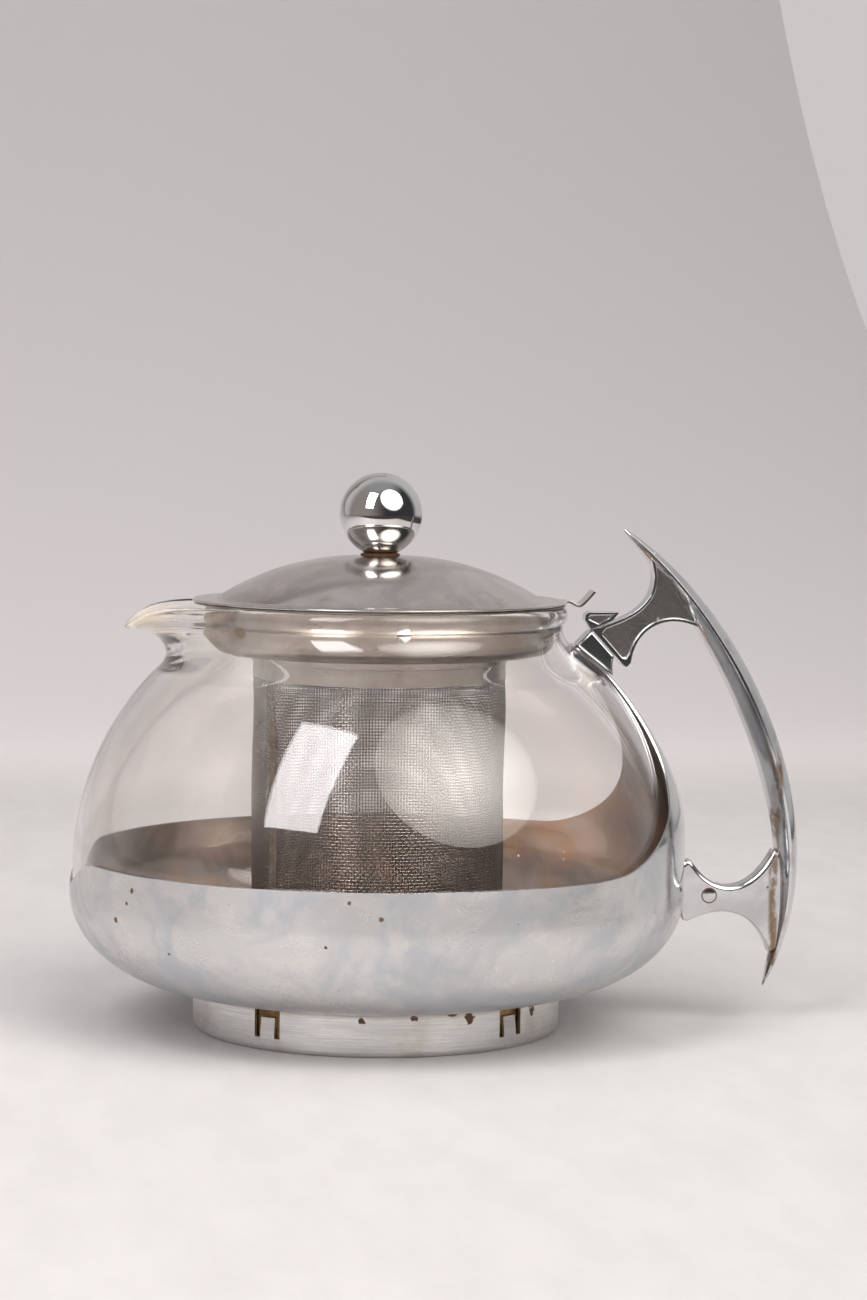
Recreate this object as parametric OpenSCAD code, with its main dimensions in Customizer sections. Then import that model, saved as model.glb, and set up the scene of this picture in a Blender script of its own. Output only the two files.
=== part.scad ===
// Glass teapot with a plated metal holder, a lift-out infuser and a lift-off lid.
// Millimetres, +Z up. The origin is the centre of the foot's contact circle.
// +X points to the handle, -X to the spout, -Y is the front.

/* [Glass] */
// Widest radius of the glass body
glass_r = 83.7; // [82:0.1:83.8]
// Wall thickness of the blown glass
glass_wall = 2; // [1.8:0.1:2.4]
// Outer radius of the neck
neck_r = 50.2; // [50:0.1:50.6]
// How far the pouring lip is drawn out
lip_reach = 18.7; // [12:0.1:19]

/* [Holder] */
// Widest radius of the holder shell
shell_r = 84.6; // [84.6:0.1:86]
// Sheet thickness of the holder shell
sheet = 0.6; // [0.5:0.1:0.7]
// Height of the shell's cut rim
rim_z = 48.5; // [46:0.5:50]
// Depth of the rim's dip under the spout
rim_dip = 9; // [0:0.5:10]
// Outer radius of the foot ring
foot_r = 50.6; // [50:0.1:52]
// Height of the foot ring
foot_h = 12; // [11.5:0.1:12]
// Width of a spring tab's slot
slot_w = 8.2; // [7:0.1:9]

/* [Handle] */
// Half width of the grip band at its middle
band_half_w = 9; // [7:0.1:10]
// Thickness of the grip band at its middle
band_t = 7.6; // [6:0.1:8]
// Thickness of the two arms
arm_t = 6.6; // [6:0.1:7.4]

/* [Infuser] */
// Outer radius of the infuser's collar
collar_r = 47.8; // [47.4:0.1:47.9]
// Radius of the woven basket
basket_r = 34.6; // [33:0.1:35]
// Height of the basket's lower end
basket_z = 31; // [28:0.5:40]

/* [Lid] */
// Radius of the lid's flat flange
lid_r = 51.5; // [51.4:0.1:52]
// Height of the dome above its flange
dome_h = 12; // [11.5:0.1:12.4]
// Radius of the ball knob
knob_r = 11.4; // [10:0.1:11.4]

/* [Hidden] */
$fn = 96;

glass_colour = [0.80, 0.80, 0.76, 0.35];
chrome = [0.78, 0.80, 0.82];
steel = [0.62, 0.60, 0.57];
brass = [0.66, 0.52, 0.28];
wire = [0.45, 0.44, 0.43];
rust = [0.42, 0.32, 0.24];

// Heights, from the bottom up
floor_z = foot_h;               // underside of the shell, on top of the foot ring
glass_z = floor_z + sheet;      // the glass stands on the shell's floor
belly_z = 44.5;                 // widest height of the glass
shell_belly_z = 38;             // widest height of the shell
neck_z = 110.5;                 // where the shoulder has become the neck
bead_z = 112.7;                 // lower edge of the rim bead
mouth_z = 116.4;                // top of the glass
rest_gap = 0.1;                 // clearance under a part that rests on another body
infuser_z = mouth_z + rest_gap; // underside of the infuser's flange
infuser_sheet = 0.5;
lid_z = infuser_z + infuser_sheet + rest_gap;
lid_sheet = 0.7;
collar_z = 102.2;               // underside of the infuser's step
band_z = 96.4;                  // lower edge of the plain band over the mesh
basket_wall = 0.9;

// ---------------------------------------------------------------- curves

function bez(p, t) = pow(1 - t, 3) * p[0] + 3 * pow(1 - t, 2) * t * p[1]
                   + 3 * (1 - t) * t * t * p[2] + pow(t, 3) * p[3];
function bez_path(p, n) = [for (i = [0:n]) bez(p, i / n)];
function unit(v) = v / norm(v);
function left(v) = [-v[1], v[0]];
function reversed(a) = [for (i = [len(a) - 1:-1:0]) a[i]];
function smooth(a, b, x) = let (t = min(1, max(0, (x - a) / (b - a)))) t * t * (3 - 2 * t);
function arc(c, r, a0, a1, n) =
    [for (i = [0:n]) let (a = a0 + (a1 - a0) * i / n) c + r * [cos(a), sin(a)]];
// A quarter ellipse in the radius-height plane, about the point c
function oval(c, a, b, a0, a1, n) =
    [for (i = [0:n]) let (t = a0 + (a1 - a0) * i / n) c + [a * cos(t), b * sin(t)]];
// An open path moved sideways by d, to its left
function shifted(p, d) =
    [for (i = [0:len(p) - 1])
        let (a = p[max(0, i - 1)], b = p[min(len(p) - 1, i + 1)]) p[i] + d * left(unit(b - a))];

// Half profile of the glass above its widest height: belly, shoulder, then the neck's fillet
belly_rise = 79.2;
shoulder_a = 42;
shoulder_p = [glass_r * cos(shoulder_a), belly_z + belly_rise * sin(shoulder_a)];
shoulder_t = unit([-glass_r * sin(shoulder_a), belly_rise * cos(shoulder_a)]);
function glass_outside() = concat(
    oval([0, belly_z], glass_r, belly_rise, 0, shoulder_a, 9),
    [for (i = [1:5]) bez([shoulder_p, shoulder_p + 5 * shoulder_t, [neck_r, neck_z - 5], [neck_r, neck_z]],
                         i / 5)]);

// ---------------------------------------------------------------- root body

// Rings of the glass: [radius, height, share of the lip's reach]
floor_rim = 46;
foot_oval_a = glass_r - floor_rim + 1;
foot_oval_b = belly_z - 3 - glass_z;
lip_low_z = 98.5;
function lip_share(z) = smooth(lip_low_z, mouth_z - 0.5, z);
function glass_rings() =
    let (up = glass_outside(),
         under = oval([floor_rim - 1, belly_z - 3], foot_oval_a, foot_oval_b, -78, -12, 6),
         wall = concat([[floor_rim - 2, glass_z]], under, up),
         inner = shifted(wall, glass_wall))
    concat([[0.01, glass_z + 2.2], [floor_rim - 10, glass_z + 1.7], [floor_rim - 7, glass_z]],
           wall,
           [[neck_r + 1.2, bead_z], [neck_r + 1.3, mouth_z - 1.2], [neck_r + 0.2, mouth_z]],
           [[neck_r - 1.2, mouth_z], [neck_r - glass_wall, mouth_z - 1.4]],
           [for (i = [len(inner) - 1:-1:1]) inner[i]],
           [[floor_rim - 8, glass_z + 4.4], [0.01, glass_z + 5]]);
// Azimuths of the ring's points, closer together along the pouring lip
function glass_angles() = concat([for (a = [-132:6:132]) a], [for (a = [138:3.5:222.1]) a]);
// The lip's plan shape: 1 at its middle and 0 outside it
lip_half = 38;
function lip_plan(a) =
    let (d = abs(a - 180) / lip_half) d >= 1 ? 0 : pow(cos(90 * d), 1.7);
lip_drop = 5.2;
function lipped(p, a) =
    let (s = lip_share(p[1]) * lip_plan(a), r = p[0] + lip_reach * s,
         z = p[1] - lip_drop * pow(s, 5))
    [r * cos(a), r * sin(a), z];

module loft(rings) {
    n = len(rings[0]);
    m = len(rings);
    points = [for (r = rings) each r];
    sides = [for (i = [0:m - 2]) for (j = [0:n - 1])
        let (k = (j + 1) % n) each [[i * n + j, (i + 1) * n + k, i * n + k],
                                    [i * n + j, (i + 1) * n + j, (i + 1) * n + k]]];
    first = [for (j = [0:n - 1]) j];
    last = [for (j = [n - 1:-1:0]) (m - 1) * n + j];
    polyhedron(points, concat(sides, [first], [last]), convexity = 8);
}

module glass_body() color(glass_colour)
    loft([for (p = glass_rings()) [for (a = glass_angles()) lipped(p, a)]]);

// Half profile of the shell's outside: flat floor, oval bowl, then along the glass to the tongue's top
rim_gap = shell_r - sheet - glass_r;
tongue_gap = 1.5;
tongue_top_gap = 0.35;
function shell_gap(z) = rim_gap + (tongue_gap - rim_gap) * smooth(belly_z, 62, z)
                      + (tongue_top_gap - tongue_gap) * smooth(62, 92, z);
function shell_outside() =
    let (over = glass_outside(), last = len(over) - 2,
         top = shifted(over, -1))
    concat([[0.01, floor_z]],
           oval([50, shell_belly_z], shell_r - 50, shell_belly_z - floor_z, -90, 0, 14),
           [[shell_r, belly_z + 1]],
           [for (i = [1:last]) over[i] + (top[i] - over[i]) * (shell_gap(over[i][1]) + sheet)]);
function shell_section() =
    let (outside = shell_outside(), inside = shifted(outside, sheet))
    concat(outside, reversed(concat([[0.01, floor_z + sheet]],
        [for (i = [1:len(outside) - 1]) inside[i]])));

// The tongue's edge seen along X: from the rim up to the tongue's narrow top
tongue_edge = [[68, rim_z - 0.7], [47, rim_z + 0.5], [23, 72], [9, 100]];
tongue_top_w = 7.5;
tongue_top_z = 105.6;
function tongue_outline() =
    let (side = concat(bez_path(tongue_edge, 14), [[tongue_top_w, tongue_top_z - 3]],
                       arc([tongue_top_w - 3, tongue_top_z - 3], 3, 0, 90, 4)))
    concat(side, [for (p = reversed(side)) [-p[0], p[1]]]);

// The rim's edge seen along X, with its dip under the spout
dip_half = 33;
dip_steps = 16;
function dip_outline() =
    concat([[dip_half, rim_z + 1], [-dip_half, rim_z + 1]],
           [for (i = [0:dip_steps]) let (u = 2 * i / dip_steps - 1)
               [dip_half * u, rim_z - rim_dip * (1 + cos(180 * u)) / 2]]);
module shell_keep() {
    difference() {
        translate([0, 0, rim_z - 120]) cylinder(r = 100, h = 120);
        translate([-100, 0, 0]) rotate([90, 0, 90]) linear_extrude(80) polygon(dip_outline());
    }
    translate([20, 0, 0]) rotate([90, 0, 90]) linear_extrude(80) polygon(tongue_outline());
}

module holder_shell() color(chrome) {
    difference() {
        intersection() {
            rotate_extrude() polygon(shell_section());
            shell_keep();
        }
        saddle_hole(screw_r + 0.15);
        saddle_head();
        lug_slot();
    }
}

// Foot ring: a rolled band with an inward flange, and four spring tabs in lanced slots
foot_sheet = 1.1;
foot_round = 1.6;
slot_low = 3.6;
slot_high = 11.2;
slot_leg = 1.8;
slot_bar = 2.2;
slot_turn = 40;
module foot_section() polygon(concat(
    [[foot_r - foot_sheet, foot_h], [foot_r - foot_sheet, foot_round]],
    arc([foot_r - foot_round, foot_round], foot_round - foot_sheet, 0, -90, 4),
    [[foot_r - 6, foot_sheet], [foot_r - 6, 0]],
    arc([foot_r - foot_round, foot_round], foot_round, -90, 0, 6),
    [[foot_r, foot_h]]));
module at_tabs() for (a = [-90 - slot_turn, -90 + slot_turn, 90 - slot_turn, 90 + slot_turn])
    rotate([0, 0, a]) children();
module lanced_slot() difference() {
    translate([foot_r - 4, -slot_w / 2, slot_low]) cube([8, slot_w, slot_high - slot_low]);
    translate([foot_r - 5, -slot_w / 2 + slot_leg, slot_low - 1])
        cube([10, slot_w - 2 * slot_leg, slot_high - slot_low + 1 - slot_bar]);
}
module foot_ring() color(chrome) difference() {
    rotate_extrude() foot_section();
    at_tabs() lanced_slot();
}

// Brass collar under the shell's floor, which the spring tabs grip
collar_clear = 0.3;
collar_low = 3.2;
module foot_collar() color(brass) translate([0, 0, collar_low]) difference() {
    cylinder(r = foot_r - foot_sheet - collar_clear, h = floor_z - collar_low);
    translate([0, 0, -1]) cylinder(r = foot_r - foot_sheet - collar_clear - 1.2, h = 10);
}

// Handle: one casting of a pointed grip band and two arms, in the XZ plane
band_out = [[67.2, 138.1], [101, 118], [134.3, 55], [108.8, 9.4]];
band_stations = 30;
// 0 at the two points of the band and 1 along its middle
function band_fill(t) = pow(sin(180 * t), 0.62);
function band_ring(t) =
    let (p = bez(band_out, t), q = bez(band_out, t + 0.001), dir = unit(q - p),
         n = [dir[1], -dir[0]], w = band_half_w * band_fill(t), h = band_t * band_fill(t))
    [for (a = [0:30:330])
        let (s = h / 2 * (1 - sin(a)), y = w * cos(a), c = p + n * s) [c[0], y, c[1]]];
module grip_band() loft([for (i = [0:band_stations])
    band_ring(0.004 + 0.992 * i / band_stations)]);

// Arms, drawn between the saddle or the lug and the band
plate_a = [57.5, 110.7];
plate_b = [67.9, 99.3];
plate_dir = unit(plate_b - plate_a);
plate_in = [plate_dir[1], -plate_dir[0]];
upper_top = [[60.8, 110.6], [70.5, 113.8], [79, 118.0], [74.4, 130.2]];
upper_low = [[69.6, 100.6], [70.8, 111.6], [82, 116.4], [93.2, 107.4]];
upper_end = [[96.5, 106.5], [88, 117.5], [75.5, 131.5]];
function upper_arm() = concat([plate_b], bez_path(upper_low, 8), upper_end,
                              reversed(bez_path(upper_top, 8)), [plate_a + 0.9 * plate_dir]);
lower_top = [[88.6, 44.2], [94, 36.5], [104, 35], [110.8, 48.5]];
lower_low = [[86.6, 28.6], [96, 33.5], [105.5, 32.4], [110.2, 19.5]];
lug_gap = 0.2;
arm_x = shell_r + 0.17;
function lower_arm() = concat(reversed(bez_path(lower_top, 8)),
                              [[arm_x + 1.5, 45.2], [arm_x, 44.8], [arm_x, 30.2], [arm_x + 0.7, 28.7]],
                              bez_path(lower_low, 8), [[113.5, 22], [114.5, 46]]);
module flat_part(outline, t) translate([0, t / 2, 0]) rotate([90, 0, 0]) linear_extrude(t)
    polygon(outline);
ear = [plate_a + 1.1 * plate_dir, [56.6, 113.2], [57.6, 114.7], [66.2, 114.6], [61.5, 110.6]];
web_depth = 0.5;
upper_web = [[62.0, 108.9], [68.4, 101.7], [71.5, 107.6], [77.5, 111.6], [84, 112.8], [89.6, 111.6],
             [84.5, 118.6], [76.4, 126.6], [76.1, 120.2], [72.6, 115.3], [67.4, 112.3]];
module web_recess() for (s = [-1, 1])
    translate([0, s * (arm_t / 2), 0]) flat_part(upper_web, 2 * web_depth);
module handle() color(chrome) difference() {
    union() {
        grip_band();
        difference() {
            flat_part(upper_arm(), arm_t);
            web_recess();
        }
        flat_part(ear, arm_t - 1.6);
        flat_part(lower_arm(), arm_t);
    }
    saddle_hole(screw_r);
    lug_space();
    cross_hole();
}

// The saddle block lies between the tongue's top and the handle's end
saddle_start = 1.3;
saddle_len = 9.8;
saddle_deep = 6;
saddle_toe = 4;                 // how far the foot of the saddle runs on down the tongue
saddle_from = plate_a + saddle_start * plate_dir;
saddle_to = saddle_from + saddle_len * plate_dir;
saddle_outline = [saddle_from, saddle_to, saddle_to + 0.8 * plate_in,
                  saddle_to + saddle_toe * (plate_dir + plate_in),
                  saddle_to + saddle_toe * plate_dir + saddle_deep * plate_in,
                  saddle_from + saddle_deep * plate_in];
saddle_w = 8.4;
module handle_saddle() color(steel) difference() {
    flat_part(saddle_outline, saddle_w);
    rotate_extrude() polygon(concat([[0.01, 60]], [for (p = shell_outside()) if (p[1] > 60) p],
                                    [[0.01, 118]]));
    saddle_hole(screw_r + 0.15);
    saddle_head();
}

// Countersunk screw from inside the tongue, through the saddle and into the arm
screw_r = 1.5;
screw_head_r = 2.6;
screw_mid = (saddle_from + saddle_to) / 2;
screw_tilt = atan2(-plate_in[0], -plate_in[1]);
screw_in = 5.7;              // the head sits inside the sheet of the tongue
screw_head_h = 0.85;
screw_out = 7.5;
module on_screw() translate([screw_mid[0], 0, screw_mid[1]]) rotate([0, screw_tilt, 0]) children();
module saddle_hole(r) on_screw() translate([0, 0, -screw_in - 3])
    cylinder(r = r, h = screw_in + 3 + screw_out);
module saddle_head() on_screw() translate([0, 0, -screw_in - 1]) {
    cylinder(r = screw_head_r + 0.05, h = 1.01);
    translate([0, 0, 1]) cylinder(r1 = screw_head_r + 0.05, r2 = screw_r, h = screw_head_h);
}
module saddle_screw() color(steel) on_screw() {
    translate([0, 0, -screw_in]) cylinder(r1 = screw_head_r, r2 = screw_r - 0.05, h = screw_head_h);
    translate([0, 0, -screw_in + screw_head_h])
        cylinder(r = screw_r - 0.05, h = screw_in - screw_head_h + screw_out - 0.5);
}

// Lug fixed to the shell, held in the lower arm by a cross pin
lug_t = 2.6;
lug_h = 6.6;
lug_z = 35.6;
pin_at = [92.6, 35.8];
pin_r = 2.2;
lug_tip = 95.6;
lug_root = shell_r - sheet + 0.02;
module lug_slot() translate([shell_r - 5, -lug_t / 2, lug_z - lug_h / 2]) cube([8, lug_t, lug_h]);
module shell_lug() color(steel) difference() {
    translate([lug_root, -lug_t / 2, lug_z - lug_h / 2]) cube([lug_tip - lug_root, lug_t, lug_h]);
    cross_hole();
}
module lug_space() translate([shell_r - 2, -lug_t / 2 - lug_gap, lug_z - lug_h / 2 - lug_gap])
    cube([lug_tip - shell_r + 2 + lug_gap, lug_t + 2 * lug_gap, lug_h + 2 * lug_gap]);
module cross_hole() translate([pin_at[0], 10, pin_at[1]]) rotate([90, 0, 0]) cylinder(r = pin_r, h = 20);
module cross_pin() color(chrome) translate([pin_at[0], arm_t / 2, pin_at[1]]) rotate([90, 0, 0])
    cylinder(r = pin_r, h = arm_t);

// ---------------------------------------------------------------- infuser

// Collar: flange, wall, rounded step and the short inner wall that carries the basket
infuser_flange_r = 51;
step_round = 4.5;
collar_foot_z = collar_z - 2.5;
module collar_section() {
    wall = concat(
        [[infuser_flange_r, infuser_z], [collar_r, infuser_z]],
        arc([collar_r - step_round, collar_z + step_round], step_round, 0, -90, 6),
        [[basket_r + 0.6, collar_z], [basket_r + 0.6, collar_foot_z]]);
    inner = concat(
        [[basket_r + 0.1, collar_foot_z], [basket_r + 0.1, collar_z + infuser_sheet]],
        reversed(arc([collar_r - step_round, collar_z + step_round], step_round - infuser_sheet, 0, -90, 6)),
        [[collar_r - infuser_sheet, infuser_z + infuser_sheet],
         [infuser_flange_r, infuser_z + infuser_sheet]]);
    polygon(concat(wall, inner));
}
louver_turn = 2;
louver_z = 111.5;
louver = [3.4, 5.4];
louver_cut = 0.5;
module infuser_collar() color(steel) difference() {
    rotate_extrude() collar_section();
    rotate([0, 0, louver_turn - 90])
    translate([collar_r - 3, -louver[0] / 2, louver_z - louver[1] / 2])
    difference() {
        cube([6, louver[0], louver[1]]);
        translate([-1, louver_cut, louver_cut]) cube([8, louver[0] - 2 * louver_cut, louver[1]]);
    }
}

module basket_ring(r, wall, z0, z1) translate([0, 0, z0]) difference() {
    cylinder(r = r, h = z1 - z0);
    translate([0, 0, -1]) cylinder(r = r - wall, h = z1 - z0 + 2);
}
module infuser_band() color(steel) basket_ring(basket_r + 0.1, 0.5, band_z, collar_z + infuser_sheet);
floor_t = 0.6;
module infuser_mesh() color(wire)
    basket_ring(basket_r - 0.4, basket_wall, basket_z + floor_t, collar_z - 1);
seam_turn = -150;
seam_w = 3.4;
module infuser_seam() color(rust) rotate([0, 0, seam_turn]) intersection() {
    basket_ring(basket_r, 0.4, basket_z + 4, band_z);
    translate([basket_r - 5, -seam_w / 2, 0]) cube([10, seam_w, 120]);
}
module infuser_floor() color(wire) translate([0, 0, basket_z]) cylinder(r = basket_r - 0.4, h = floor_t);
module infuser_hoop() color(steel) basket_ring(basket_r, 0.4, basket_z, basket_z + 4);

// ---------------------------------------------------------------- lid

dome_r = 44.5;
seat_r = 5.2;
dome_base_z = lid_z + lid_sheet + 0.4;
dome_top_z = lid_z + lid_sheet + dome_h;
// Radius of the dome's arc, from its base circle to its small flat top
dome_rise = dome_top_z - dome_base_z;
dome_run = dome_r - seat_r;
dome_arc = (dome_run * dome_run + dome_rise * dome_rise) / (2 * dome_rise);
dome_sweep = asin(dome_run / dome_arc);
knob_cut = 10.6;
knob_seat_h = 0.7;
knob_z = dome_top_z + knob_seat_h + knob_cut;
module lid_dome() color(steel) difference() {
    rotate_extrude() {
        over = arc([seat_r, dome_top_z - dome_arc], dome_arc, 90, 90 - dome_sweep, 12);
        under = arc([seat_r, dome_top_z - dome_arc], dome_arc - lid_sheet, 90, 90 - dome_sweep, 12);
        polygon(concat([[0.01, dome_top_z]], over,
                       [[dome_r + 0.5, lid_z + lid_sheet], [lid_r, lid_z + lid_sheet]],
                       [[lid_r, lid_z], [dome_r - 0.2, lid_z]],
                       reversed(under), [[0.01, dome_top_z - lid_sheet]]));
    }
    translate([0, 0, dome_top_z - 5]) cylinder(r = knob_bolt_r + 0.2, h = 10);
}
skirt_gap = 0.6;
skirt_h = 4;
module lid_skirt() color(steel)
    basket_ring(collar_r - infuser_sheet - skirt_gap, 0.6, lid_z - skirt_h, lid_z);

// Bent strip on the flange's edge, towards the handle
tab_w = 8;
tab_t = 0.7;
tab_line = [[lid_r - 1, lid_z + tab_t / 2], [lid_r + 0.6, lid_z + tab_t / 2], [lid_r + 2.6, lid_z - 0.7],
            [lid_r + 4.1, lid_z - 0.7], [lid_r + 8.2, lid_z + 3.4]];
module lid_tab() color(steel) difference() {
    flat_part(concat(shifted(tab_line, tab_t / 2), reversed(shifted(tab_line, -tab_t / 2))), tab_w);
    translate([0, 0, lid_z - 1]) cylinder(r = lid_r, h = 3);
}

knob_bolt_r = 2;
knob_bolt_in = 7;
module lid_knob() color(chrome) difference() {
    translate([0, 0, knob_z]) sphere(r = knob_r);
    translate([0, 0, knob_z - knob_cut - 5]) cylinder(r = knob_r, h = 5);
    translate([0, 0, knob_z - knob_cut - 1]) cylinder(r = knob_bolt_r, h = knob_bolt_in + 1.5);
}
module knob_seat() color(rust) translate([0, 0, dome_top_z]) difference() {
    cylinder(r = seat_r, h = knob_seat_h);
    translate([0, 0, -1]) cylinder(r = knob_bolt_r + 0.2, h = 5);
}
washer_h = 0.8;
module knob_washer() color(steel) translate([0, 0, dome_top_z - lid_sheet - washer_h]) difference() {
    cylinder(r = seat_r - 0.2, h = washer_h);
    translate([0, 0, -1]) cylinder(r = knob_bolt_r + 0.2, h = 5);
}
bolt_head_h = 2.4;
module knob_screw() color(steel) translate([0, 0, dome_top_z - lid_sheet - washer_h]) {
    translate([0, 0, -bolt_head_h]) difference() {
        cylinder(r = 3.8, h = bolt_head_h);
        translate([-5, -0.5, -1]) cube([10, 1, 2]);
    }
    cylinder(r = knob_bolt_r - 0.05, h = lid_sheet + washer_h + knob_seat_h + knob_bolt_in);
}

glass_body();
holder_shell();
foot_ring();
foot_collar();
handle();
handle_saddle();
saddle_screw();
shell_lug();
cross_pin();
infuser_collar();
infuser_band();
infuser_mesh();
infuser_seam();
infuser_floor();
infuser_hoop();
lid_dome();
lid_skirt();
lid_tab();
lid_knob();
knob_seat();
knob_washer();
knob_screw();
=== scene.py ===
import math

import bmesh
import bpy
import numpy as np
from mathutils import Matrix, Vector


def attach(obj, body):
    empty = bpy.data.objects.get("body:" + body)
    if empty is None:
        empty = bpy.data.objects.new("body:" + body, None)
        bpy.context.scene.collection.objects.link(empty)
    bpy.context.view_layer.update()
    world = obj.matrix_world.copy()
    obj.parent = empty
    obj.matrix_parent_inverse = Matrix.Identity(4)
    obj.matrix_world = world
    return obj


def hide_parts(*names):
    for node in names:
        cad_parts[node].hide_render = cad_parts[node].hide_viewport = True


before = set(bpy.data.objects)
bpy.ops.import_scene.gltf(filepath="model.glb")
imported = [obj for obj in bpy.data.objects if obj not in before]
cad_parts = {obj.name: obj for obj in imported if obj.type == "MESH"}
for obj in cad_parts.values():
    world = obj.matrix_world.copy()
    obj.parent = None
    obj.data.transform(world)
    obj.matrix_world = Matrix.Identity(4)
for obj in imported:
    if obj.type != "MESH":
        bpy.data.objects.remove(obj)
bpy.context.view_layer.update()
MM = 0.001

# -------- sizes shared with the CAD, in mm
GLASS_R, NECK_R, BELLY_Z, BELLY_RISE, NECK_Z, MOUTH_Z = 83.7, 50.2, 44.5, 79.2, 110.5, 116.4
GLASS_Z, GLASS_WALL = 12.6, 2.0
LIP_REACH, LIP_LOW, LIP_HALF, LIP_DROP = 18.7, 98.5, 38.0, 5.2
SHELL_R, SHEET, RIM_Z, FLOOR_Z, SHELL_BELLY_Z = 84.6, 0.6, 48.5, 12.0, 38.0
RIM_DIP, DIP_HALF = 9.0, 33.0
TONGUE_EDGE = [(68, 47.8), (47, 49), (23, 72), (9, 100)]
TONGUE_W, TONGUE_TOP = 7.5, 105.6
FOOT_R = 50.6
BAND_OUT = [(67.2, 138.1), (101, 118), (134.3, 55), (108.8, 9.4)]
BAND_HALF_W, BAND_T, ARM_T = 9.0, 7.6, 6.6
PLATE_A, PLATE_B = np.array([57.5, 110.7]), np.array([67.9, 99.3])
BASKET_R, BASKET_Z, BAND_Z, COLLAR_Z, COLLAR_R = 34.6, 31.0, 96.4, 102.2, 47.8
INFUSER_Z, LID_Z, LID_R, LID_SHEET = 116.5, 117.1, 51.5, 0.7
DOME_R, SEAT_R, DOME_TOP = 44.5, 5.2, 129.8
KNOB_R, KNOB_Z = 11.4, 141.1


# -------- curves
def bez(p, t):
    a, b, c, d = (np.array(q, float) for q in p)
    return (1 - t) ** 3 * a + 3 * (1 - t) ** 2 * t * b + 3 * (1 - t) * t * t * c + t**3 * d


def bez_path(p, n):
    return [bez(p, i / n) for i in range(n + 1)]


def oval(c, a, b, a0, a1, n):
    angles = np.radians(np.linspace(a0, a1, n + 1))
    return [np.array([c[0] + a * math.cos(t), c[1] + b * math.sin(t)]) for t in angles]


def smooth(a, b, x):
    t = min(1.0, max(0.0, (x - a) / (b - a)))
    return t * t * (3 - 2 * t)


def shifted(path, d):
    p = np.array(path, float)
    t = np.gradient(p, axis=0)
    t /= np.linalg.norm(t, axis=1)[:, None]
    return p + d * np.stack([-t[:, 1], t[:, 0]], 1)


def through(points, per=6):
    """A smooth open curve through the points."""
    p = np.array(points, float)
    p = np.vstack([2 * p[0] - p[1], p, 2 * p[-1] - p[-2]])
    out = []
    for i in range(1, len(p) - 2):
        for k in range(per):
            t = k / per
            out.append(0.5 * (2 * p[i] + (p[i + 1] - p[i - 1]) * t
                              + (2 * p[i - 1] - 5 * p[i] + 4 * p[i + 1] - p[i + 2]) * t * t
                              + (3 * p[i] - p[i - 1] - 3 * p[i + 1] + p[i + 2]) * t**3))
    return out + [p[-2]]


def glass_outside(n=40):
    a = math.radians(42)
    p = np.array([GLASS_R * math.cos(a), BELLY_Z + BELLY_RISE * math.sin(a)])
    t = np.array([-GLASS_R * math.sin(a), BELLY_RISE * math.cos(a)])
    t /= np.linalg.norm(t)
    belly = oval((0, BELLY_Z), GLASS_R, BELLY_RISE, 0, 42, n)
    return belly + bez_path([p, p + 5 * t, (NECK_R, NECK_Z - 5), (NECK_R, NECK_Z)], n // 2)[1:]


# -------- meshes
def mesh_object(name, verts, faces, mats=(), scale=MM):
    """A linked object from vertices in mm, or in the unit that scale gives."""
    mesh = bpy.data.meshes.new(name)
    mesh.from_pydata([tuple(v) for v in np.asarray(verts, float) * scale], [], faces)
    for m in mats if isinstance(mats, (list, tuple)) else [mats]:
        mesh.materials.append(m)
    obj = bpy.data.objects.new(name, mesh)
    bpy.context.scene.collection.objects.link(obj)
    return obj


def declare(obj, body, replaces=()):
    """Hangs the piece on its body's empty and hides the CAD nodes it stands for."""
    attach(obj, body)
    if replaces:
        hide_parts(*replaces)
    return obj


def piece(name, verts, faces, mats, body, replaces=(), index=None, sharp=35):
    """A finished piece of one mesh. index picks a material for each face."""
    obj = mesh_object(name, verts, faces, mats)
    if index is not None:
        obj.data.polygons.foreach_set("material_index", index)
    tidy(obj, sharp)
    return declare(obj, body, replaces)


def tidy(obj, sharp=35, weld=1e-7):
    """Welds, faces outwards and smooths, up to edges sharper than sharp degrees."""
    bm = bmesh.new()
    bm.from_mesh(obj.data)
    bmesh.ops.remove_doubles(bm, verts=bm.verts, dist=weld)
    bmesh.ops.dissolve_degenerate(bm, dist=1e-8, edges=bm.edges)
    bmesh.ops.recalc_face_normals(bm, faces=bm.faces)
    bm.to_mesh(obj.data)
    bm.free()
    obj.data.polygons.foreach_set("use_smooth", [True] * len(obj.data.polygons))
    obj.data.set_sharp_from_angle(angle=math.radians(sharp))


def crisp(obj):
    """Keeps flat faces flat where narrow bevels meet them."""
    m = obj.modifiers.new("crisp", "WEIGHTED_NORMAL")
    m.weight, m.keep_sharp = 100, True
    return apply_modifiers(obj)


def grid_faces(rows, cols, wrap_cols=True, wrap_rows=False):
    faces = []
    for i in range(rows if wrap_rows else rows - 1):
        for j in range(cols if wrap_cols else cols - 1):
            a, b = i % rows, (i + 1) % rows
            k = (j + 1) % cols
            faces.append((a * cols + j, a * cols + k, b * cols + k, b * cols + j))
    return faces


def lathe(name, profile, mats, body, replaces=(), n=256, warp=None, sharp=35, closed=True):
    """A profile of (radius, height) turned about Z. Unless closed, it starts and ends on the axis."""
    angles = np.linspace(0, 2 * math.pi, n, endpoint=False)
    verts = []
    for r, z in profile:
        for a in angles:
            rr, zz = (r, z) if warp is None else warp(r, z, a)
            verts.append((rr * math.cos(a), rr * math.sin(a), zz))
    faces = grid_faces(len(profile), n, True, closed)
    return piece(name, verts, faces, mats, body, replaces, sharp=sharp)


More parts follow.
